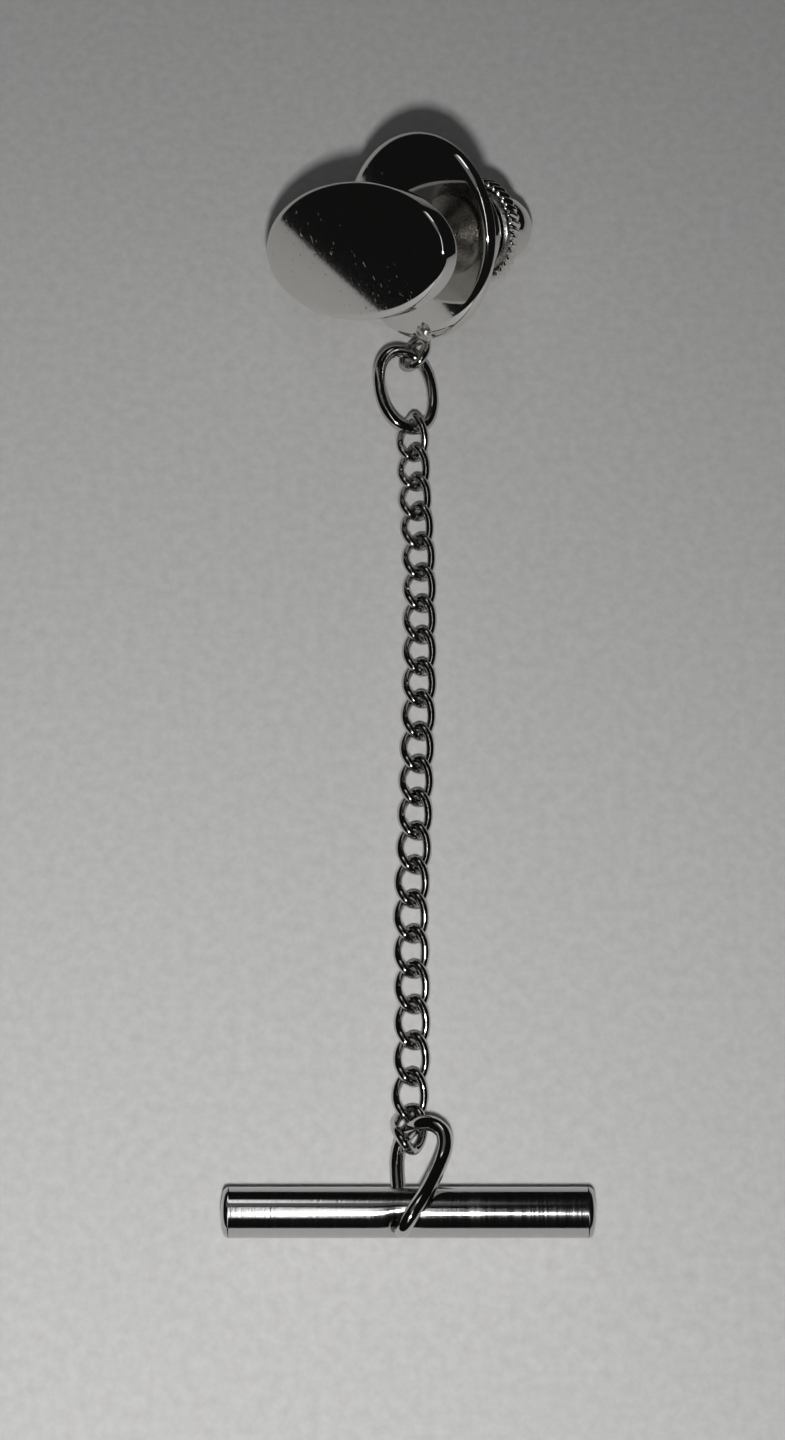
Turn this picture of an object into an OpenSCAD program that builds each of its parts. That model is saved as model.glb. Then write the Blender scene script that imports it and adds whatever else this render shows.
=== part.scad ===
// Tie tack: oval head on a post, ball-lock clutch with a dished front, curb chain and toggle bar.
// Millimetres. The set lies on a table top at Z = 0 with the chain running along Y.

/* [Toggle bar] */
// length over the domed ends
bar_length = 20; // [16:0.5:26]
// outside diameter of the tube
bar_d = 2.7; // [2.5:0.02:3]
// wall of the tube
bar_wall = 0.3; // [0.2:0.05:0.4]
// wire of the ring through the bar
ring_wire = 0.84; // [0.6:0.02:0.84]
// how far the cross hole sits left of the middle
hole_shift = 0.4; // [0:0.1:1]

/* [Chain] */
// wire diameter
chain_wire = 0.5; // [0.4:0.02:0.5]
// clear length inside one link
link_inner = 2.2; // [2.14:0.02:2.2]
// width over one link
link_width = 2.06; // [2:0.02:2.1]
// twist from the middle of a link to each end
link_twist = 45; // [35:1:50]

/* [Jump ring] */
// wire diameter
jump_wire = 0.74; // [0.6:0.02:0.8]
// half length of the oval, to the wire's centre
jump_a = 2.7; // [2.5:0.02:2.9]
// half width of the oval, to the wire's centre
jump_b = 1.8; // [1.6:0.02:2]

/* [Head] */
// long axis of the oval plate
head_long = 15.3; // [12:0.1:18]
// short axis of the oval plate
head_short = 8.2; // [6:0.1:10]
// thickness at the edge
head_t = 1.4; // [0.8:0.05:1.8]
// extra height of the crowned front
head_crown = 0.06; // [0:0.02:0.4]
// clear distance from the clutch rim to the back of the head
head_gap = 4.55; // [4:0.05:7]
// post diameter
post_d = 1.1; // [0.9:0.02:1.12]
// post length from the back of the head to the point
post_length = 9.6; // [9:0.1:11]

/* [Clutch] */
// dish diameter
dish_d = 12.5; // [10:0.1:15]
// thickness of the dish metal
dish_t = 0.3; // [0.2:0.05:0.4]
// radius of the rolled edge
edge_w = 0.6; // [0.5:0.05:0.8]
// how far the middle of the dish stands out from its edge
dish_rise = 0.12; // [0:0.02:0.3]
// diameter of the round foot of the post
foot_d = 5.2; // [3:0.1:5.4]
// outside diameter of the knurled grip
grip_d = 6.6; // [5.4:0.1:6.6]
// teeth round the grip
grip_teeth = 40; // [24:1:60]
// diameter of the domed pull
pull_d = 4.1; // [3.6:0.1:4.1]

/* [Hidden] */
$fn = 96;
origin_x = 0;
origin_y = 0.11;
run = 0.05;
// dish centre above the table, and the direction its front faces
clutch_at = [0.84, 27.87, 5.87];
clutch_tilt = 57.6;
clutch_turn = 213.26;
clutch_spin = -46.9;
eyelet_turn = 85;
// depths behind the rim plane
case_r = 3.2;
case_back = 3.9;
cup_back = 4.6;
foot_h = 1.4;
grip_front = 4.75;
grip_back = 5.65;
dome_at = 7.1;
ball_at = 2.75;
ball_r = 0.4;
cone_slope = 12;
spring_front = 3.45;
spring_back = 4.3;
wire_sides = 8;

function unit(v) = v / norm(v);
function two(i) = str(i < 10 ? "0" : "", i);
function link_name(i) = str("chain_link_", two(i));
function mix(a, b, t) = a + (b - a) * t;
function sgn_pow(c, p) = sign(c) * pow(abs(c), p);

// One closed wire: a ring of points round every station of the path.
function wire_points(path, r, centre) = [
    for (i = [0 : len(path) - 1])
        let (n = len(path))
        let (t = unit(path[(i + 1) % n] - path[(i + n - 1) % n]))
        let (w = path[i] - centre)
        let (u = unit(w - (w * t) * t))
        let (v = cross(t, u))
        for (k = [0 : wire_sides - 1])
            path[i] + r * (cos(360 * k / wire_sides) * u + sin(360 * k / wire_sides) * v)
];
function wire_faces(n) = [
    for (i = [0 : n - 1])
        for (k = [0 : wire_sides - 1])
            let (j = (i + 1) % n)
            let (m = (k + 1) % wire_sides)
            for (half = [0, 1])
                half == 0
                    ? [i * wire_sides + k, i * wire_sides + m, j * wire_sides + k]
                    : [i * wire_sides + m, j * wire_sides + m, j * wire_sides + k]
];
module wire_loop(path, d, centre) {
    polyhedron(wire_points(path, d / 2, centre), wire_faces(len(path)), convexity = 8);
}

// ---- chain ----
links = 22;
link_stations = 30;
half_l = (link_inner + chain_wire) / 2;
half_w = (link_width - chain_wire) / 2;
pitch = 2.1;
last_y = -25.24;
// how far each link is rolled about the chain, and its sideways place
roll = [for (i = [1 : links]) i == 22 ? -12 : i == 21 ? 0 : i > 5 ? 0 : [18.5, 11, 7.5, 4, 2][i - 1]];
wander = [
    0.36, 0.412, 0.49, 0.61, 0.7, 0.74, 0.73, 0.72, 0.7, 0.64, 0.56,
    0.49, 0.43, 0.35, 0.24, 0.18, 0.2, 0.23, 0.23, 0.2, 0.1, 0.042
];
function link_y(i) =
    i == 1 ? 16.598 : i == 2 ? 14.532 : i == 3 ? 12.474 : i == 22 ? -27.255 : last_y + pitch * (21 - i);
function flat_point(a) = [half_w * sgn_pow(cos(a), 0.86), half_l * sgn_pow(sin(a), 0.86)];
function link_local(a, rolled) =
    let (p = flat_point(a))
    let (f = link_twist * p[1] / half_l + rolled)
    [p[0] * cos(f), p[1], p[0] * sin(f)];
function link_rise(rolled) = max([for (a = [0 : 6 : 354]) link_local(a, rolled)[2]]) + chain_wire / 2;
function link_z(i) = i == 1 ? 0.848 : i == 22 ? 0.94 : link_rise(roll[i - 1]) + 0.005;
function link_centre(i) = [wander[i - 1], link_y(i), link_z(i)];
function link_slope(i) = i == 1 ? 9.6 : i == 22 ? -20 : 0;
function link_at(i, a) =
    let (p = link_local(a, roll[i - 1]))
    let (s = link_slope(i))
    link_centre(i) + [p[0], p[1] * cos(s) - p[2] * sin(s), p[1] * sin(s) + p[2] * cos(s)];
function link_path(i) = [for (k = [0 : link_stations - 1]) link_at(i, 360 * k / link_stations)];

module chain_link(i) {
    color([0.72, 0.73, 0.75])
        wire_loop(link_path(i), chain_wire, link_centre(i));
}

// ---- jump ring and eyelet ----
jump_at = [-0.02, 19.82, 1.17];
jump_l = unit([-0.09, 0.985, 0.06]);
jump_w = unit(cross(cross(jump_l, [0.906, 0, -0.42]), jump_l));
function jump_point(a) =
    jump_at + jump_b * sgn_pow(cos(a), 0.92) * jump_w + jump_a * sgn_pow(sin(a), 0.92) * jump_l;
jump_path = [for (k = [0 : 47]) jump_point(7.5 * k)];
module jump_ring() {
    color([0.7, 0.7, 0.72])
        wire_loop(jump_path, jump_wire, jump_at);
}

eyelet_at = [0.52, 22.4, 1.16];
eyelet_l = unit([-0.43, -0.9, -0.14]);
eyelet_w = unit([0.64, -0.4, 0.66]);
eyelet_path = [
    for (k = [0 : 39])
        eyelet_at + 0.95 * cos(9 * k) * eyelet_w + 1.02 * sin(9 * k) * eyelet_l
];
module clutch_eyelet() {
    color([0.7, 0.7, 0.7])
        wire_loop(eyelet_path, 0.5, eyelet_at);
}

// ---- ring through the toggle bar ----
bar_r = bar_d / 2;
bar_at = [0, -32, bar_r];
hole_at = [-hole_shift, -32, bar_r];
hole_dir = [0, -0.777, 0.629];
ring_knots = [
    [-0.36, -33.02, 2.17], [-0.4, -32, 1.35], [-0.46, -30.98, 0.56], [-0.55, -30.3, 0.45],
    [-0.6, -29.4, 0.451], [-0.58, -28.7, 0.525], [-0.4, -28, 0.64], [0, -27.4, 0.84],
    [0.6, -27.25, 1.76], [1.27, -27.35, 2.18], [1.84, -27.85, 2.36], [1.97, -28.6, 2.376],
    [1.77, -29.4, 2.411], [1.36, -30.45, 2.7], [0.87, -31.5, 3.05], [0.34, -32.35, 3.18],
    [-0.08, -32.98, 3], [-0.32, -33.26, 2.6]
];
function knot(i) = ring_knots[(i + 2 * len(ring_knots)) % len(ring_knots)];
function spline(i, t) =
    let (a = knot(i - 1), b = knot(i), c = knot(i + 1), d = knot(i + 2))
    0.5 * (2 * b + (c - a) * t + (2 * a - 5 * b + 4 * c - d) * t * t
        + (3 * b - a - 3 * c + d) * t * t * t);
bar_ring_path = [for (i = [0 : len(ring_knots) - 1]) for (t = [0, 1 / 3, 2 / 3]) spline(i, t)];
module bar_ring() {
    color([0.7, 0.7, 0.72])
        wire_loop(bar_ring_path, ring_wire, [0.6, -30, 1.6]);
}

module along_bar(x) {
    translate([x, bar_at[1], bar_at[2]])
        rotate([0, 90, 0])
            children();
}
module cross_hole() {
    translate(hole_at)
        rotate([51, 0, 0])
            cylinder(r = ring_wire / 2 + 0.1, h = 2 * bar_d, center = true, $fn = 48);
}
plug_dome = 0.12;
tube_half = bar_length / 2 - plug_dome;
// outline of the tube: a bore, and an outside that rounds in to it at both ends
tube_outline = concat(
    [for (a = [0 : 15 : 90])
        [bar_r - bar_wall + bar_wall * cos(a), tube_half - bar_wall + bar_wall * sin(a)]],
    [for (a = [90 : -15 : 0])
        [bar_r - bar_wall + bar_wall * cos(a), -tube_half + bar_wall - bar_wall * sin(a)]]
);
module toggle_tube() {
    color([0.66, 0.67, 0.7])
        difference() {
            along_bar(0)
                rotate_extrude()
                    polygon(tube_outline);
            cross_hole();
        }
}
// radius of the shallow dome on each end of the bar
plug_r = bar_r - bar_wall;
dome_r = (plug_r * plug_r + plug_dome * plug_dome) / (2 * plug_dome);
module toggle_plug() {
    color([0.7, 0.7, 0.73])
        rotate_extrude()
            union() {
                intersection() {
                    translate([0, plug_dome - dome_r])
                        circle(r = dome_r, $fn = 180);
                    square([plug_r, plug_dome]);
                }
                translate([0, -0.9])
                    square([plug_r, 0.9]);
            }
}
module toggle_plug_left() {
    translate([-tube_half, bar_at[1], bar_at[2]])
        rotate([0, -90, 0])
            toggle_plug();
}
module toggle_plug_right() {
    along_bar(tube_half)
        toggle_plug();
}

// ---- head, post and clutch: local Z points out of the front of the dish ----
module on_clutch() {
    translate(clutch_at)
        rotate([0, clutch_tilt, clutch_turn])
            rotate([0, 0, clutch_spin])
                children();
}
// a ring of revolution given as [radius, depth behind the rim plane]
module turned(profile) {
    rotate_extrude()
        polygon([for (p = profile) [p[0], -p[1]]]);
}

head_sides = 96;
head_shift = 0.53;
// rows of the oval plate from the back to the front: [inset from the edge, height]
edge_r = 0.36;
head_rows = concat(
    [for (a = [-90 : 30 : 0]) [edge_r * (1 - cos(a)), edge_r * (1 + sin(a))]],
    [for (a = [0 : 22.5 : 90]) [edge_r * 1.3 * (1 - cos(a)), head_t - edge_r * (1 - sin(a))]],
    [[1.2, head_t + head_crown * 0.3], [2.3, head_t + head_crown * 0.75], [3.4, head_t + head_crown]]
);
function oval(a, inset) = [(head_long / 2 - inset) * cos(a), (head_short / 2 - inset) * sin(a)];
module head_plate() {
    n = head_sides;
    m = len(head_rows);
    points = concat(
        [for (row = head_rows) for (k = [0 : n - 1])
            let (p = oval(360 * k / n, row[0])) [p[0], p[1], row[1]]],
        [[0, 0, 0], [0, 0, head_t + head_crown]]
    );
    faces = concat(
        [for (r = [0 : m - 2]) for (k = [0 : n - 1]) for (half = [0, 1])
            let (q = (k + 1) % n)
            half == 0
                ? [r * n + k, (r + 1) * n + k, r * n + q]
                : [r * n + q, (r + 1) * n + k, (r + 1) * n + q]],
        [for (k = [0 : n - 1]) [m * n, k, (k + 1) % n]],
        [for (k = [0 : n - 1]) [m * n + 1, (m - 1) * n + (k + 1) % n, (m - 1) * n + k]]
    );
    color([0.68, 0.68, 0.7])
        on_clutch()
            translate([0, head_shift, head_gap])
                polyhedron(points, faces, convexity = 4);
}
module post_pad() {
    color([0.7, 0.7, 0.7])
        on_clutch()
            turned([
                [post_d / 2, -head_gap], [foot_d / 2, -head_gap], [foot_d / 2, -head_gap + 0.15],
                [foot_d / 2 - 0.1, -head_gap + 0.28], [0.8, -head_gap + foot_h],
                [post_d / 2, -head_gap + foot_h + 0.1]
            ]);
}
module post() {
    r = post_d / 2;
    tip = post_length - head_gap;
    color([0.75, 0.75, 0.77])
        on_clutch()
            turned([
                [0, -head_gap], [r, -head_gap], [r, tip - 1.9], [r - 0.12, tip - 1.8], [r - 0.12, tip - 1.6],
                [r, tip - 1.5], [r, tip - 1.1], [0.04, tip], [0, tip]
            ]);
}

hole_r = 0.66;
face_r = dish_d / 2 - edge_w;
// depth of the domed front at a radius, and of the flat back that the case meets
function front_depth(r) = -edge_w - dish_rise * (1 - r * r / (face_r * face_r));
plate_back = -edge_w + 0.22;
module clutch_dish() {
    color([0.68, 0.68, 0.7])
        on_clutch()
            turned(concat(
                [for (r = [hole_r, 1.5, 2.5, 3.5, 4.5, face_r]) [r, front_depth(r)]],
                [for (a = [15 : 15 : 90]) [face_r + edge_w * sin(a), -edge_w * cos(a)]],
                [[dish_d / 2 - 0.04, 0.12], [dish_d / 2 - 0.22, 0.14]],
                [for (a = [75 : -15 : 30])
                    [face_r + (edge_w - dish_t) * sin(a), (dish_t - edge_w) * cos(a)]],
                [[face_r - 0.2, plate_back], [hole_r, plate_back]]
            ));
}
module clutch_case() {
    color([0.66, 0.66, 0.68])
        on_clutch()
            turned([
                [hole_r, plate_back], [case_r, plate_back], [case_r, case_back - 0.15],
                [case_r - 0.15, case_back], [2.6, case_back], [2.6, case_back - 0.2], [2.85, case_back - 0.2],
                [2.85, plate_back + 0.25], [hole_r, plate_back + 0.25]
            ]);
}
function cone_r(z) = 0.96 + (ball_r + 0.005) / cos(cone_slope) + (z - ball_at) * tan(cone_slope);
module lock_cup() {
    color([0.7, 0.7, 0.7])
        on_clutch()
            turned([
                [cone_r(2.12), 2.12], [2.8, 2.12], [2.8, 3.65], [2.55, 3.65], [2.55, cup_back - 0.1],
                [2.45, cup_back], [2.2, cup_back], [2.2, spring_back], [1.7, spring_back], [cone_r(3.5), 3.5]
            ]);
}
module cup_washer() {
    color([0.7, 0.7, 0.7])
        on_clutch()
            turned([[1.2, spring_back], [2.2, spring_back], [2.2, cup_back], [1.2, cup_back]]);
}
module ball_cage() {
    color([0.8, 0.68, 0.42])
        on_clutch()
            difference() {
                turned([
                    [0.62, 2.2], [1.15, 2.2], [1.15, 3.25], [1.38, 3.25], [1.38, spring_front],
                    [1.15, spring_front], [1.15, 6.1], [0.62, 6.1]
                ]);
                for (a = [30, 150, 270])
                    rotate([0, 0, a])
                        translate([0, 0, -ball_at])
                            rotate([0, 90, 0])
                                cylinder(r = ball_r + 0.03, h = 2, $fn = 48);
            }
}
module lock_balls() {
    color([0.78, 0.79, 0.8])
        on_clutch()
            for (a = [30, 150, 270])
                rotate([0, 0, a])
                    translate([0.96, 0, -ball_at])
                        sphere(r = ball_r, $fn = 48);
}
spring_turns = 3;
spring_wire = 0.13;
function coil(t) =
    let (z = spring_front + spring_wire / 2 + 0.01
        + (spring_back - spring_front - spring_wire - 0.02) * t)
    [1.3 * cos(360 * spring_turns * t), 1.3 * sin(360 * spring_turns * t), -z];
module clutch_spring() {
    steps = 54;
    sides = 6;
    path = [for (i = [0 : steps]) coil(i / steps)];
    points = [
        for (i = [0 : steps])
            let (u = unit([path[i][0], path[i][1], 0]))
            for (k = [0 : sides - 1])
                path[i] + spring_wire / 2 * (cos(360 * k / sides) * u + sin(360 * k / sides) * [0, 0, 1])
    ];
    faces = concat(
        [for (i = [0 : steps - 1]) for (k = [0 : sides - 1]) for (half = [0, 1])
            let (m = (k + 1) % sides)
            half == 0
                ? [i * sides + k, (i + 1) * sides + k, i * sides + m]
                : [i * sides + m, (i + 1) * sides + k, (i + 1) * sides + m]],
        [[for (k = [0 : sides - 1]) k]],
        [[for (k = [sides - 1 : -1 : 0]) steps * sides + k]]
    );
    color([0.6, 0.62, 0.65])
        on_clutch()
            polyhedron(points, faces, convexity = 8);
}
module pull_knob() {
    color([0.68, 0.68, 0.7])
        on_clutch()
            difference() {
                union() {
                    turned([[1.15, grip_front], [2.3, grip_front], [2.3, grip_back], [1.6, grip_back],
                        [1.6, 5.9], [pull_d / 2, 6], [pull_d / 2, dome_at], [0, dome_at], [0, 6.1], [1.15, 6.1]]);
                    intersection() {
                        translate([0, 0, -dome_at])
                            sphere(d = pull_d);
                        translate([0, 0, -dome_at - pull_d])
                            cylinder(d = 2 * pull_d, h = pull_d);
                    }
                }
                translate([0, 0, -7.9])
                    cylinder(r = 0.66, h = 2.6, $fn = 48);
            }
}
module knurled_ring() {
    r = grip_d / 2;
    color([0.7, 0.7, 0.7])
        on_clutch()
            difference() {
                turned([[2.3, grip_front], [r - 0.15, grip_front], [r, grip_front + 0.15],
                    [r, grip_back - 0.15], [r - 0.15, grip_back], [2.3, grip_back]]);
                for (k = [0 : grip_teeth - 1])
                    rotate([0, 0, 360 * k / grip_teeth])
                        translate([r + 0.06, 0, -grip_back - 0.1])
                            cylinder(r = 0.17, h = 1.2, $fn = 24);
            }
}
module eyelet_solder() {
    color([0.75, 0.75, 0.75])
        on_clutch()
            rotate([0, 0, eyelet_turn])
                translate([dish_d / 2 - 0.1, 0, -0.35])
                    sphere(r = 0.5, $fn = 32);
}

translate([origin_x, origin_y, 0]) {
    head_plate();
    post_pad();
    post();
    clutch_dish();
    clutch_case();
    lock_cup();
    cup_washer();
    ball_cage();
    lock_balls();
    clutch_spring();
    pull_knob();
    knurled_ring();
    clutch_eyelet();
    eyelet_solder();
    jump_ring();
    for (i = [1 : links])
        chain_link(i);
    bar_ring();
    toggle_tube();
    toggle_plug_left();
    toggle_plug_right();
}
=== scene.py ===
import math

import bpy
import numpy as np
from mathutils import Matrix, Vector


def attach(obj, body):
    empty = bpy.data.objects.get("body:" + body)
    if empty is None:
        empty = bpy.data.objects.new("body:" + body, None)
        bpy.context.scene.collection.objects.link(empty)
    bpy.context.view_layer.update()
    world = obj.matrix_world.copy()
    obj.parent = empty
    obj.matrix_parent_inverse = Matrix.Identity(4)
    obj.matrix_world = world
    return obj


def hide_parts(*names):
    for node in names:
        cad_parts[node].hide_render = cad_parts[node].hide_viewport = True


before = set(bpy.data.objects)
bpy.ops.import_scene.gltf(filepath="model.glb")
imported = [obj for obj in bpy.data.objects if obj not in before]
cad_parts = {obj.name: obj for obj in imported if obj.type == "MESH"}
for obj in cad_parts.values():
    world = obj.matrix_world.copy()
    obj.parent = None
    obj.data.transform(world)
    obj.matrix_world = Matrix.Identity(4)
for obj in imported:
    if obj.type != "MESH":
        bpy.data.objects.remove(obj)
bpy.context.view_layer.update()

MM = 0.001
scene = bpy.context.scene


# ---------------------------------------------------------------- mesh helpers
def unit(v):
    v = np.asarray(v, float)
    return v / np.linalg.norm(v)


def make_object(name, verts, faces, smooth=True):
    """A mesh object from points in millimetres in the row frame."""
    mesh = bpy.data.meshes.new(name)
    mesh.from_pydata((np.asarray(verts) * MM).tolist(), [], faces)
    mesh.validate()
    mesh.polygons.foreach_set("use_smooth", [smooth] * len(mesh.polygons))
    mesh.update()
    obj = bpy.data.objects.new(name, mesh)
    scene.collection.objects.link(obj)
    return obj


def grid_faces(rows, cols, wrap_rows, wrap_cols, base=0, flip=False):
    """Quads over a rows x cols grid of points."""
    out = []
    for i in range(rows if wrap_rows else rows - 1):
        a = base + i * cols
        b = base + ((i + 1) % rows) * cols
        for k in range(cols if wrap_cols else cols - 1):
            m = (k + 1) % cols
            quad = (a + k, a + m, b + m, b + k)
            out.append(quad[::-1] if flip else quad)
    return out


def closed_wire(name, path, radius, centre, sides=24):
    """A closed round wire swept along a path. The centre is a point inside the loop that stops twisting."""
    path = np.asarray(path, float)
    tangent = np.roll(path, -1, 0) - np.roll(path, 1, 0)
    tangent /= np.linalg.norm(tangent, axis=1)[:, None]
    w = path - np.asarray(centre, float)
    u = w - (w * tangent).sum(1)[:, None] * tangent
    u /= np.linalg.norm(u, axis=1)[:, None]
    v = np.cross(tangent, u)
    ang = np.arange(sides) * 2 * math.pi / sides
    pts = path[:, None] + radius * (
        np.cos(ang)[None, :, None] * u[:, None] + np.sin(ang)[None, :, None] * v[:, None]
    )
    return make_object(name, pts.reshape(-1, 3), grid_faces(len(path), sides, True, True))


# the clutch frame: local Z points out of the front of the dish
CLUTCH_AT = np.array([0.84, 27.98, 5.87])
CLUTCH_TILT, CLUTCH_TURN, CLUTCH_SPIN = 57.6, 213.26, -46.9


def rot_z(deg):
    c, s = math.cos(math.radians(deg)), math.sin(math.radians(deg))
    return np.array([[c, -s, 0], [s, c, 0], [0, 0, 1]])


def rot_y(deg):
    c, s = math.cos(math.radians(deg)), math.sin(math.radians(deg))
    return np.array([[c, 0, s], [0, 1, 0], [-s, 0, c]])


CLUTCH_ROT = rot_z(CLUTCH_TURN) @ rot_y(CLUTCH_TILT) @ rot_z(CLUTCH_SPIN)


def from_clutch(p):
    return np.asarray(p, float) @ CLUTCH_ROT.T + CLUTCH_AT


def from_front(co):
    """How far in front of the rim plane a mesh point lies, in millimetres."""
    return float((np.array(co) / MM - CLUTCH_AT) @ CLUTCH_ROT[:, 2])


def smooth_profile(profile, step, corner):
    """Resamples a closed profile and rounds its corners by corner mm."""
    p = np.asarray(profile, float)
    out = []
    n = len(p)
    for i in range(n):
        a, b, c = p[i - 1], p[i], p[(i + 1) % n]
        la, lc = np.linalg.norm(a - b), np.linalg.norm(c - b)
        # two corners on one short edge must not meet
        cut = min(corner, la * 0.45, lc * 0.45)
        s = b + (a - b) / la * cut
        e = b + (c - b) / lc * cut
        for t in (0, 0.25, 0.5, 0.75, 1):
            out.append((1 - t) ** 2 * s + 2 * t * (1 - t) * b + t * t * e)
    out = np.array(out)
    fine = []
    for i in range(len(out)):
        a, b = out[i], out[(i + 1) % len(out)]
        k = max(1, int(np.linalg.norm(b - a) / step))
        for t in range(k):
            fine.append(a + (b - a) * t / k)
    return np.array(fine)


def turned(name, profile, sides=256, step=0.15, corner=0.05, radial=None):
    """A closed profile of [radius, depth behind the rim plane] turned about the clutch axis."""
    p = smooth_profile(profile, step, corner)
    ang = np.arange(sides) * 2 * math.pi / sides
    r = p[:, 0][:, None] * np.ones(sides)[None]
    z = -p[:, 1][:, None] * np.ones(sides)[None]
    if radial is not None:
        r = radial(r, z, ang[None])
    pts = np.stack([r * np.cos(ang), r * np.sin(ang), z], -1).reshape(-1, 3)
    return make_object(name, from_clutch(pts), grid_faces(len(p), sides, True, True))


# ---------------------------------------------------------------- chain
LINKS = 22
PITCH = 2.1
WIRE = 0.5
LINK_INNER, LINK_WIDTH = 2.2, 2.06
HALF_L = (LINK_INNER + WIRE) / 2
HALF_W = (LINK_WIDTH - WIRE) / 2
SQUARENESS = 0.86
TWIST = 45
ROLL = [18.5, 11, 7.5, 4, 2] + [0] * 16 + [-12]
WANDER = [
    0.36, 0.412, 0.49, 0.61, 0.7, 0.74, 0.73, 0.72, 0.7, 0.64, 0.56,
    0.49, 0.43, 0.35, 0.24, 0.18, 0.2, 0.23, 0.23, 0.2, 0.1, 0.042,
]
ORIGIN = np.array([0, 0.11, 0])


def signed_power(c, p):
    """A power that keeps the sign, which squares up an oval."""
    return np.sign(c) * np.abs(c) ** p


def link_local(a, rolled):
    """Points of one twisted link about its own centre, at the angles a."""
    x = HALF_W * signed_power(np.cos(a), SQUARENESS)
    y = HALF_L * signed_power(np.sin(a), SQUARENESS)
    f = np.radians(TWIST * y / HALF_L + rolled)
    return np.stack([x * np.cos(f), y, x * np.sin(f)], -1)


def link_rise(rolled):
    """How high the centre of a rolled link lies when it rests on the table."""
    return link_local(np.radians(np.arange(0, 360, 6)), rolled)[:, 2].max() + WIRE / 2


def link_y(i):
    return {1: 16.598, 2: 14.532, 3: 12.474, 22: -27.255}.get(i, -25.24 + PITCH * (21 - i))


def link_centre(i):
    z = {1: 0.848, 22: 0.94}.get(i, link_rise(ROLL[i - 1]) + 0.005)
    return np.array([WANDER[i - 1], link_y(i), z]) + ORIGIN


def link_path(i, stations=144):
    a = np.arange(stations) * 2 * math.pi / stations
    p = link_local(a, ROLL[i - 1])
    s = math.radians({1: 9.6, 22: -20}.get(i, 0))
    q = np.stack([
        p[:, 0],
        p[:, 1] * math.cos(s) - p[:, 2] * math.sin(s),
        p[:, 1] * math.sin(s) + p[:, 2] * math.cos(s),
    ], -1)
    return q + link_centre(i)


def even_path(path):
    """The same closed curve with its points spread evenly."""
    closed = np.vstack([path, path[:1]])
    d = np.concatenate([[0], np.cumsum(np.linalg.norm(np.diff(closed, axis=0), axis=1))])
    want = np.linspace(0, d[-1], len(path) + 1)[:-1]
    return np.stack([np.interp(want, d, closed[:, k]) for k in range(3)], -1)


links = []
for i in range(1, LINKS + 1):
    number = f"{i:02d}"
    link = closed_wire("curb_link_" + number, even_path(link_path(i)), WIRE / 2, link_centre(i))
    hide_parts("chain_link_" + number)
    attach(link, "link_" + number)
    links.append(link)

# ---------------------------------------------------------------- jump ring and eyelet
JUMP_AT = np.array([-0.02, 19.82, 1.17]) + ORIGIN
JUMP_L = unit([-0.09, 0.985, 0.06])
JUMP_W = unit(np.cross(np.cross(JUMP_L, [0.906, 0, -0.42]), JUMP_L))
JUMP_HALF_W, JUMP_HALF_L, JUMP_WIRE_R, JUMP_SQUARENESS = 1.8, 2.7, 0.37, 0.92
turns = np.arange(180) * 2 * math.pi / 180
jump_path = (
    JUMP_AT
    + JUMP_HALF_W * signed_power(np.cos(turns), JUMP_SQUARENESS)[:, None] * JUMP_W
    + JUMP_HALF_L * signed_power(np.sin(turns), JUMP_SQUARENESS)[:, None] * JUMP_L
)
jump_ring = closed_wire("oval_jump_ring", even_path(jump_path), JUMP_WIRE_R, JUMP_AT)
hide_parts("jump_ring")
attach(jump_ring, "jump_ring")

EYELET_AT = np.array([0.52, 22.4, 1.16]) + ORIGIN
EYELET_L = unit([-0.43, -0.9, -0.14])
EYELET_W = unit([0.64, -0.4, 0.66])
EYELET_HALF_W, EYELET_HALF_L, EYELET_WIRE_R = 0.95, 1.02, 0.25
eyelet_path = (
    EYELET_AT
    + EYELET_HALF_W * np.cos(turns)[:, None] * EYELET_W
    + EYELET_HALF_L * np.sin(turns)[:, None] * EYELET_L
)
eyelet = closed_wire("soldered_eyelet", even_path(eyelet_path), EYELET_WIRE_R, EYELET_AT)
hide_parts("clutch_eyelet")
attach(eyelet, "clutch_shell")

# ---------------------------------------------------------------- ring through the bar
KNOTS = np.array([
    [-0.36, -33.02, 2.17], [-0.4, -32, 1.35], [-0.46, -30.98, 0.56], [-0.55, -30.3, 0.45],
    [-0.6, -29.4, 0.451], [-0.58, -28.7, 0.525], [-0.4, -28, 0.64], [0, -27.4, 0.84],
    [0.6, -27.25, 1.76], [1.27, -27.35, 2.18], [1.84, -27.85, 2.36], [1.97, -28.6, 2.376],
    [1.77, -29.4, 2.411], [1.36, -30.45, 2.7], [0.87, -31.5, 3.05], [0.34, -32.35, 3.18],
    [-0.08, -32.98, 3], [-0.32, -33.26, 2.6],
]) + ORIGIN


def catmull(knots, steps):
    """A smooth closed curve through the knots."""
    out = []
    n = len(knots)
    for i in range(n):
        p, b, c, d = knots[i - 1], knots[i], knots[(i + 1) % n], knots[(i + 2) % n]
        for t in np.arange(steps) / steps:
            out.append(0.5 * (2 * b + (c - p) * t + (2 * p - 5 * b + 4 * c - d) * t * t
                              + (3 * b - p - 3 * c + d) * t ** 3))
    return np.array(out)


RING_WIRE_R = 0.42
RING_MIDDLE = np.array([0.6, -30, 1.6]) + ORIGIN
bar_ring = closed_wire("toggle_wire_ring", even_path(catmull(KNOTS, 14)), RING_WIRE_R, RING_MIDDLE, sides=32)
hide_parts("bar_ring")
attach(bar_ring, "bar_ring")

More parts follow.
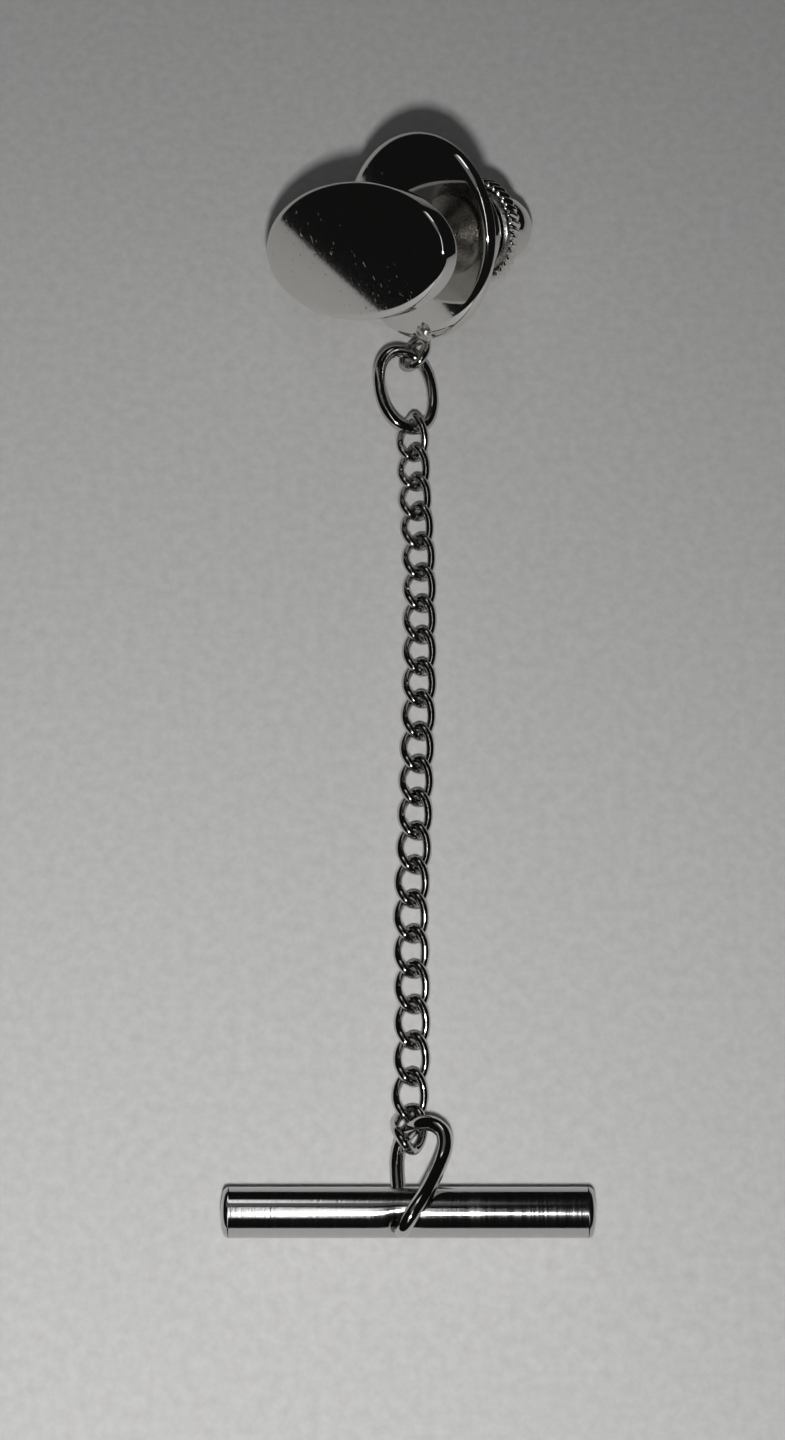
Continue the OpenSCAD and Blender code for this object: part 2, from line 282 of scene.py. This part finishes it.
# ---------------------------------------------------------------- toggle bar
BAR_R = 1.35
BAR_WALL = 0.3
BAR_C = np.array([0, -32, BAR_R]) + ORIGIN
PLUG_DOME = 0.12
BAR_LENGTH = 20
HALF = BAR_LENGTH / 2 - PLUG_DOME
HOLE_X = -0.4
HOLE_ANGLE = math.radians(51)
DIMPLE_DEPTH, DIMPLE_SPREAD = 0.16, 0.72
POCKET_DEPTH, POCKET_R, POCKET_EDGE = 0.75, 0.47, 0.03
# the stretch of the bar round the hole gets closer rows
FINE_FROM, FINE_TO = -2.4, 1.6


def bar_skin():
    """The tube's outside, with a dimple and a pocket where the wire goes in at the front and the back."""
    x = np.concatenate([
        np.linspace(-HALF + BAR_WALL, FINE_FROM, 150, endpoint=False),
        np.linspace(FINE_FROM, FINE_TO, 220, endpoint=False),
        np.linspace(FINE_TO, HALF - BAR_WALL, 160),
    ])
    sides = 288
    th = np.arange(sides) * 2 * math.pi / sides
    X, T = np.meshgrid(x, th, indexing="ij")
    R = np.full_like(X, BAR_R)
    for centre, pull in ((HOLE_ANGLE, 1.0), (HOLE_ANGLE + math.pi, 0.7)):
        dt = (T - centre + math.pi) % (2 * math.pi) - math.pi
        d = np.hypot((X - HOLE_X), dt * BAR_R)
        R -= pull * DIMPLE_DEPTH * np.exp(-((d / DIMPLE_SPREAD) ** 2))
        R -= POCKET_DEPTH / (1 + np.exp((d - POCKET_R) / POCKET_EDGE))
    # angle 0 is straight up, positive towards -Y
    pts = np.stack([X, -R * np.sin(T), R * np.cos(T)], -1)
    return pts, len(x), sides


pts, rows, cols = bar_skin()
# rounded edge at each end, turned in over the plug
rim = []
for side in (-1, 1):
    for ang in np.radians(np.arange(0, 91, 7.5)):
        rim.append((
            side * (HALF - BAR_WALL + BAR_WALL * math.sin(ang)),
            BAR_R - BAR_WALL + BAR_WALL * math.cos(ang),
        ))
    rim.append((side * (HALF - 0.03), BAR_R - BAR_WALL - 0.015))
    rim.append((side * (HALF - 0.12), BAR_R - BAR_WALL - 0.02))


def ring_row(xx, rr):
    """One circle of points about the bar axis."""
    th = np.arange(cols) * 2 * math.pi / cols
    return np.stack([np.full(cols, xx), -rr * np.sin(th), rr * np.cos(th)], -1)


left = [ring_row(*q) for q in rim[:len(rim) // 2]][::-1]
right = [ring_row(*q) for q in rim[len(rim) // 2:]]
all_rows = np.concatenate([np.array(left), pts, np.array(right)])
bar_faces = grid_faces(len(all_rows), cols, False, True)
bar = make_object("toggle_bar_tube", all_rows.reshape(-1, 3) + BAR_C, bar_faces)
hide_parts("toggle_tube")
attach(bar, "toggle_bar")


def plug(name, side, node):
    """A slightly domed end plug; side is -1 or 1."""
    outline = []
    R = BAR_R - BAR_WALL - 0.03
    for t in np.linspace(0, 1, 26):
        rr = R * (1 - t)
        h = PLUG_DOME * (1 - (rr / R) ** 2) - 0.05 * math.exp(-((R - rr) / 0.04) ** 2)
        outline.append((side * (HALF + h), max(rr, 1e-4)))
    outline.insert(0, (side * (HALF - 0.3), R))
    body = np.array([ring_row(*q) for q in outline])
    faces = grid_faces(len(body), cols, False, True, flip=side < 0)
    obj = make_object(name, body.reshape(-1, 3) + BAR_C, faces)
    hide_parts(node)
    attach(obj, "toggle_bar")
    return obj


plugs = [plug("end_plug_left", -1, "toggle_plug_left"), plug("end_plug_right", 1, "toggle_plug_right")]

# ---------------------------------------------------------------- head
HEAD_L, HEAD_S, HEAD_T, CROWN, GAP, SHIFT = 15.3, 8.2, 1.4, 0.06, 4.55, 0.53
EDGE_IN, EDGE_R = 0.42, 0.36
# points nearer to the clutch than this belong to the back of the head, which gets the painted shade
HEAD_BACK = GAP + 0.04


def head_mesh():
    """An oval plate with rounded edges and a slight crown, as rows of ovals from the back to the front."""
    # each step is how far the oval is inset and how high it stands over the back
    steps = []
    for ang in np.radians(np.linspace(-90, 0, 8)):
        steps.append((EDGE_R * (1 - math.cos(ang)), EDGE_R * (1 + math.sin(ang))))
    for ang in np.radians(np.linspace(0, 90, 14)):
        steps.append((EDGE_IN * (1 - math.cos(ang)), HEAD_T - EDGE_R * (1 - math.sin(ang))))
    for k in range(1, 40):
        inset = EDGE_IN + (HEAD_S / 2 - EDGE_IN) * k / 39.5
        f = (inset - EDGE_IN) / (HEAD_S / 2 - EDGE_IN)
        steps.append((inset, HEAD_T + CROWN * (1 - (1 - f) ** 2)))
    n = 360
    th = np.arange(n) * 2 * math.pi / n
    out = []
    for inset, h in steps:
        # the long axis shrinks with the short one, so that the rows stay ovals
        if inset <= EDGE_IN:
            ax, ay = HEAD_L / 2 - inset, HEAD_S / 2 - inset
        else:
            f = (HEAD_S / 2 - inset) / (HEAD_S / 2 - EDGE_IN)
            ax, ay = (HEAD_L / 2 - EDGE_IN) * f, (HEAD_S / 2 - EDGE_IN) * f
        out.append(np.stack([ax * np.cos(th), ay * np.sin(th) + SHIFT, np.full(n, GAP + h)], -1))
    points = np.concatenate(out)
    faces = grid_faces(len(out), n, False, True)
    base = len(points)
    points = np.vstack([points, [[0, SHIFT, GAP], [0, SHIFT, GAP + HEAD_T + CROWN]]])
    for k in range(n):
        faces.append((base, (k + 1) % n, k))
        last = (len(out) - 1) * n
        faces.append((base + 1, last + k, last + (k + 1) % n))
    return make_object("oval_head", from_clutch(points), faces)


head = head_mesh()
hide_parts("head_plate")
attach(head, "tack")

# ---------------------------------------------------------------- clutch outside
DISH_R = 6.25
FACE_R = 5.65
FACE_RISE = 0.12
EDGE = 0.6
BORE_R = 0.66
PLATE_BACK = -0.38


def dish_profile():
    """Radius and depth: a slightly domed face, an edge rolled back, and the inside of the thin metal."""
    face = [[r, -EDGE - FACE_RISE * (1 - (r / FACE_R) ** 2)] for r in np.linspace(BORE_R, FACE_R, 24)]
    edge = []
    for t in np.radians(np.linspace(6, 100, 16)):
        edge.append([FACE_R + (DISH_R - FACE_R) * math.sin(t), -EDGE * math.cos(t)])
    inner = [
        [DISH_R - 0.22, 0.14], [DISH_R - 0.3, 0.0], [FACE_R + 0.1, -0.28],
        [FACE_R - 0.2, PLATE_BACK], [BORE_R, PLATE_BACK],
    ]
    return face + edge + inner


dish = turned("flared_dish", dish_profile(), sides=360, step=0.1, corner=0.03)
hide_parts("clutch_dish")
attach(dish, "clutch_shell")

case = turned("clutch_case_skin", [
    [BORE_R, PLATE_BACK], [3.2, PLATE_BACK], [3.2, 3.75], [3.05, 3.9], [2.6, 3.9], [2.6, 3.7], [2.85, 3.7],
    [2.85, -0.13], [BORE_R, -0.13]], corner=0.08)
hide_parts("clutch_case")
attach(case, "clutch_shell")

GRIP_R, GRIP_IN = 3.3, 2.3
GRIP_FRONT, GRIP_BACK = 4.75, 5.65
TEETH = 40
TOOTH_DEPTH, TOOTH_SLANT = 0.17, 0.16


def knurl(r, z, ang):
    """Slanted teeth, deepest at the outside of the grip."""
    wave = 0.5 + 0.5 * np.cos(TEETH * (ang + (-z - GRIP_FRONT) * TOOTH_SLANT))
    amount = np.clip((r - GRIP_R + 0.35) / 0.25, 0, 1)
    return r - TOOTH_DEPTH * amount * wave ** 1.5


grip = turned("knurled_grip", [
    [GRIP_IN, GRIP_FRONT], [GRIP_R - 0.16, GRIP_FRONT],
    [GRIP_R - 0.03, GRIP_FRONT + 0.1], [GRIP_R, GRIP_FRONT + 0.25],
    [GRIP_R, GRIP_BACK - 0.25], [GRIP_R - 0.03, GRIP_BACK - 0.1],
    [GRIP_R - 0.16, GRIP_BACK], [GRIP_IN, GRIP_BACK]],
    sides=720, step=0.06, corner=0.05, radial=knurl)
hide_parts("knurled_ring")
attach(grip, "knob")

PULL_R = 2.05
DOME_AT = 7.1


def knob_mesh():
    """The pull: a collar inside the grip, a waist, and a dome with the end of the bore behind it."""
    prof = [
        [BORE_R, 4.9], [1.15, GRIP_FRONT], [GRIP_IN, GRIP_FRONT], [GRIP_IN, GRIP_BACK], [1.9, GRIP_BACK],
        [1.62, 5.72], [1.6, 5.9], [1.95, 6.0], [PULL_R, 6.12],
    ]
    for ang in np.radians(np.linspace(0, 88, 30)):
        prof.append([PULL_R * math.cos(ang), DOME_AT + PULL_R * math.sin(ang)])
    prof += [[0.02, DOME_AT + PULL_R - 0.01], [0.02, 7.9], [BORE_R, 7.9]]
    return turned("domed_pull", prof, step=0.12, corner=0.04)


knob = knob_mesh()
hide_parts("pull_knob")
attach(knob, "knob")

POST_R = 0.55
foot = turned("post_foot", [
    [POST_R, -GAP], [2.6, -GAP], [2.6, -4.4], [2.5, -4.27], [0.8, -3.15], [POST_R, -3.05]], corner=0.06)
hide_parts("post_pad")
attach(foot, "tack")

post = turned("grooved_post", [
    [0.02, -GAP], [POST_R, -GAP], [POST_R, 3.15], [0.43, 3.25], [0.43, 3.45], [POST_R, 3.55], [POST_R, 3.95],
    [0.04, 5.04], [0.02, 5.05]], sides=64, step=0.3, corner=0.03)
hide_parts("post")
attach(post, "tack")

SOLDER_AT = rot_z(95) @ np.array([5.75, 0, 0.3])
SOLDER_R = 0.6


def solder_mesh():
    """A lumpy bead of solder on the rim over the eyelet."""
    bead_rows, bead_cols = 40, 64
    points = []
    for lat in np.linspace(-math.pi / 2 + 0.02, math.pi / 2 - 0.02, bead_rows):
        for lon in np.arange(bead_cols) * 2 * math.pi / bead_cols:
            n = np.array([math.cos(lat) * math.cos(lon), math.cos(lat) * math.sin(lon), math.sin(lat)])
            lump = 1 + 0.12 * math.sin(5 * n[0] + 2.1 * n[1] + 1) * math.cos(4.3 * n[2] - n[1])
            lump += 0.05 * math.sin(9 * n[1] + 4 * n[2]) * math.sin(7 * n[0] + 0.6)
            points.append(SOLDER_AT + SOLDER_R * lump * n)
    faces = grid_faces(bead_rows, bead_cols, False, True)
    faces.append(tuple(range(bead_cols))[::-1])
    faces.append(tuple((bead_rows - 1) * bead_cols + k for k in range(bead_cols)))
    return make_object("solder_bead", from_clutch(np.array(points)), faces)


solder = solder_mesh()
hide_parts("eyelet_solder")
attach(solder, "clutch_shell")

# ---------------------------------------------------------------- materials
BUMP_DEPTH = 0.00002
# the duller end of a plating tone, as a share of the brighter end
DULL = 0.93


def new_material(name):
    mat = bpy.data.materials.new(name)
    mat.use_nodes = True
    nt = mat.node_tree
    nt.nodes.clear()
    out = nt.nodes.new("ShaderNodeOutputMaterial")
    bsdf = nt.nodes.new("ShaderNodeBsdfPrincipled")
    nt.links.new(bsdf.outputs["BSDF"], out.inputs["Surface"])
    return mat, nt, bsdf


def chrome(name, tone=(0.84, 0.825, 0.8), rough=0.03, grain=0.02, grain_scale=6000.0, stretch=(1, 1, 1),
           hairline=0.0, hairline_scale=900.0):
    """Plating: a slightly uneven tone, fine grain that may run one way, and thin polishing hairlines."""
    mat, nt, bsdf = new_material(name)
    bsdf.inputs["Metallic"].default_value = 1.0
    coord = nt.nodes.new("ShaderNodeTexCoord")
    along = nt.nodes.new("ShaderNodeMapping")
    along.inputs["Scale"].default_value = stretch
    nt.links.new(coord.outputs["Object"], along.inputs["Vector"])
    noise = nt.nodes.new("ShaderNodeTexNoise")
    noise.inputs["Scale"].default_value = grain_scale
    noise.inputs["Detail"].default_value = 4
    nt.links.new(along.outputs["Vector"], noise.inputs["Vector"])
    # the roughness runs between rough and twice that
    ramp = nt.nodes.new("ShaderNodeMapRange")
    ramp.inputs["From Min"].default_value = 0.35
    ramp.inputs["From Max"].default_value = 0.75
    ramp.inputs["To Min"].default_value = rough
    ramp.inputs["To Max"].default_value = rough * 2
    nt.links.new(noise.outputs["Fac"], ramp.inputs["Value"])
    nt.links.new(ramp.outputs["Result"], bsdf.inputs["Roughness"])
    tint = nt.nodes.new("ShaderNodeMix")
    tint.data_type = "RGBA"
    tint.inputs[6].default_value = (*tone, 1)
    tint.inputs[7].default_value = (tone[0] * DULL, tone[1] * DULL, tone[2] * DULL * 0.99, 1)
    slow = nt.nodes.new("ShaderNodeTexNoise")
    slow.inputs["Scale"].default_value = grain_scale / 12
    nt.links.new(coord.outputs["Object"], slow.inputs["Vector"])
    nt.links.new(slow.outputs["Fac"], tint.inputs[0])
    nt.links.new(tint.outputs[2], bsdf.inputs["Base Color"])
    bump = nt.nodes.new("ShaderNodeBump")
    bump.inputs["Strength"].default_value = grain
    bump.inputs["Distance"].default_value = BUMP_DEPTH
    nt.links.new(noise.outputs["Fac"], bump.inputs["Height"])
    last = bump
    if hairline:
        turn = nt.nodes.new("ShaderNodeMapping")
        turn.inputs["Rotation"].default_value = (0.5, 0.9, 0.6)
        turn.inputs["Scale"].default_value = (16, 0.6, 16)
        nt.links.new(coord.outputs["Object"], turn.inputs["Vector"])
        streak = nt.nodes.new("ShaderNodeTexNoise")
        streak.inputs["Scale"].default_value = hairline_scale
        streak.inputs["Detail"].default_value = 1
        nt.links.new(turn.outputs["Vector"], streak.inputs["Vector"])
        line = nt.nodes.new("ShaderNodeMapRange")
        line.inputs["From Min"].default_value = 0.7
        line.inputs["From Max"].default_value = 0.78
        nt.links.new(streak.outputs["Fac"], line.inputs["Value"])
        cut = nt.nodes.new("ShaderNodeBump")
        cut.inputs["Strength"].default_value = hairline
        cut.inputs["Distance"].default_value = BUMP_DEPTH
        nt.links.new(line.outputs["Result"], cut.inputs["Height"])
        nt.links.new(bump.outputs["Normal"], cut.inputs["Normal"])
        last = cut
    nt.links.new(last.outputs["Normal"], bsdf.inputs["Normal"])
    return mat


plate_mat = chrome("polished_plate", rough=0.03, grain=0.012, hairline=0.07, hairline_scale=300.0)
wire_mat = chrome(
    "polished_wire", tone=(0.6, 0.59, 0.57), rough=0.05, grain=0.05, hairline=0.1, hairline_scale=500.0)
dish_mat = chrome("dish_plating", rough=0.03, grain=0.012, hairline=0.05, hairline_scale=300.0)
bar_mat = chrome(
    "brushed_bar", tone=(0.55, 0.547, 0.543), rough=0.08, grain=0.14, grain_scale=700.0,
    stretch=(14, 0.3, 0.3))
inner_mat = chrome("lock_steel", tone=(0.6, 0.6, 0.6), rough=0.2, grain=0.1)
brass_mat = chrome("cage_brass", tone=(0.72, 0.55, 0.28), rough=0.2, grain=0.1)
# the post foot's satin roughness is its finish; its dark plating tone is painted shade, so only the side the
# lamps catch reads bright
foot_mat = chrome("satin_foot_painted_shade", tone=(0.36, 0.345, 0.32), rough=0.22, grain=0.4, grain_scale=9000.0)
solder_mat = chrome("plated_solder", tone=(0.88, 0.86, 0.82), rough=0.24, grain=0.8, grain_scale=2500.0)


def paint(obj, mat):
    """Gives a piece its material."""
    obj.data.materials.clear()
    obj.data.materials.append(mat)


for piece in links + [jump_ring, eyelet, bar_ring]:
    paint(piece, wire_mat)
for piece in (head, case, grip, knob):
    paint(piece, plate_mat)
paint(foot, foot_mat)
# the back of the head gets a rougher plating with a darker tone; the rougher part is its finish, the darker
# tone is painted shade for its unlit side
head.data.materials.append(chrome("head_back_painted_shade", tone=(0.6, 0.59, 0.57), rough=0.12, grain=0.1))
for face in head.data.polygons:
    back = all(from_front(head.data.vertices[v].co) < HEAD_BACK for v in face.vertices)
    face.material_index = 1 if back else 0
paint(post, plate_mat)
paint(dish, dish_mat)
paint(solder, solder_mat)
for piece in [bar] + plugs:
    paint(piece, bar_mat)
INNER = {
    "lock_cup": inner_mat, "cup_washer": inner_mat, "clutch_spring": inner_mat, "lock_balls": inner_mat,
    "ball_cage": brass_mat,
}
for name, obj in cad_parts.items():
    paint(obj, INNER.get(name, wire_mat))

# ---------------------------------------------------------------- floor
FLOOR_X, FLOOR_Y, FLOOR_DROP = 80, 160, 0.004


def paper():
    """Matt paper with a fine uneven tone."""
    mat, nt, bsdf = new_material("paper_mat")
    coord = nt.nodes.new("ShaderNodeTexCoord")
    grain = nt.nodes.new("ShaderNodeTexNoise")
    grain.inputs["Scale"].default_value = 1500
    grain.inputs["Detail"].default_value = 8
    grain.inputs["Roughness"].default_value = 0.62
    nt.links.new(coord.outputs["Object"], grain.inputs["Vector"])
    tone = nt.nodes.new("ShaderNodeMix")
    tone.data_type = "RGBA"
    tone.inputs[6].default_value = (0.5, 0.495, 0.49, 1)
    tone.inputs[7].default_value = (0.74, 0.735, 0.73, 1)
    nt.links.new(grain.outputs["Fac"], tone.inputs[0])
    nt.links.new(tone.outputs[2], bsdf.inputs["Base Color"])
    bsdf.inputs["Roughness"].default_value = 0.9
    bsdf.inputs["Specular IOR Level"].default_value = 0.1
    return mat


def floor_sheet():
    """The plain rectangle that the object lies on."""
    obj = make_object("paper", [
        (-FLOOR_X, -FLOOR_Y, -FLOOR_DROP), (FLOOR_X, -FLOOR_Y, -FLOOR_DROP),
        (FLOOR_X, FLOOR_Y, -FLOOR_DROP), (-FLOOR_X, FLOOR_Y, -FLOOR_DROP)], [(0, 1, 2, 3)], smooth=False)
    return obj


paint(floor_sheet(), paper())

# ---------------------------------------------------------------- light and camera
world = bpy.data.worlds.new("world")
scene.world = world
world.use_nodes = True
world.node_tree.nodes["Background"].inputs[0].default_value = (0.006, 0.006, 0.006, 1)
world.node_tree.nodes["Background"].inputs[1].default_value = 1.0


def area(name, at, target, size, power, size_y=None):
    """A lamp at one point aimed at another, in millimetres: round, or a rectangle when size_y is given."""
    light = bpy.data.lights.new(name, "AREA")
    light.energy = power
    light.size = size * MM
    light.shape = "RECTANGLE" if size_y else "DISK"
    if size_y:
        light.size_y = size_y * MM
    obj = bpy.data.objects.new(name, light)
    scene.collection.objects.link(obj)
    obj.location = np.asarray(at) * MM
    aim = Vector(np.asarray(target, float) - np.asarray(at, float))
    obj.rotation_euler = aim.to_track_quat("-Z", "Y").to_euler()


# a round key from the viewer's side and four softboxes; each of them lights every piece and the floor
area("key", (0, -80, 123), (-85, -15, 0), 10, 0.165)
area("softbox_left", (-33, -220, 500), (-33, -220, 0), 9, 0.05, size_y=500)
area("softbox_centre", (-14, -130, 330), (0, 28, 5), 14, 0.025, size_y=230)
area("softbox_back", (-60, 260, 420), (0, -5, 0), 90, 0.05, size_y=140)
area("softbox_top", (-70, 90, 260), (-20, 30, 0), 180, 0.01)

CAMERA_AT = np.array([-0.85, -74.89, 149.4])
CAMERA_TILT = 26
LENS, SENSOR = 71.25, 36
lens = bpy.data.cameras.new("camera")
lens.lens = LENS
lens.sensor_width = SENSOR
lens.clip_start = 0.005
lens.clip_end = 5
camera = bpy.data.objects.new("camera", lens)
scene.collection.objects.link(camera)
camera.location = CAMERA_AT * MM
camera.rotation_euler = (math.radians(CAMERA_TILT), 0, 0)
scene.camera = camera
scene.view_settings.view_transform = "Standard"
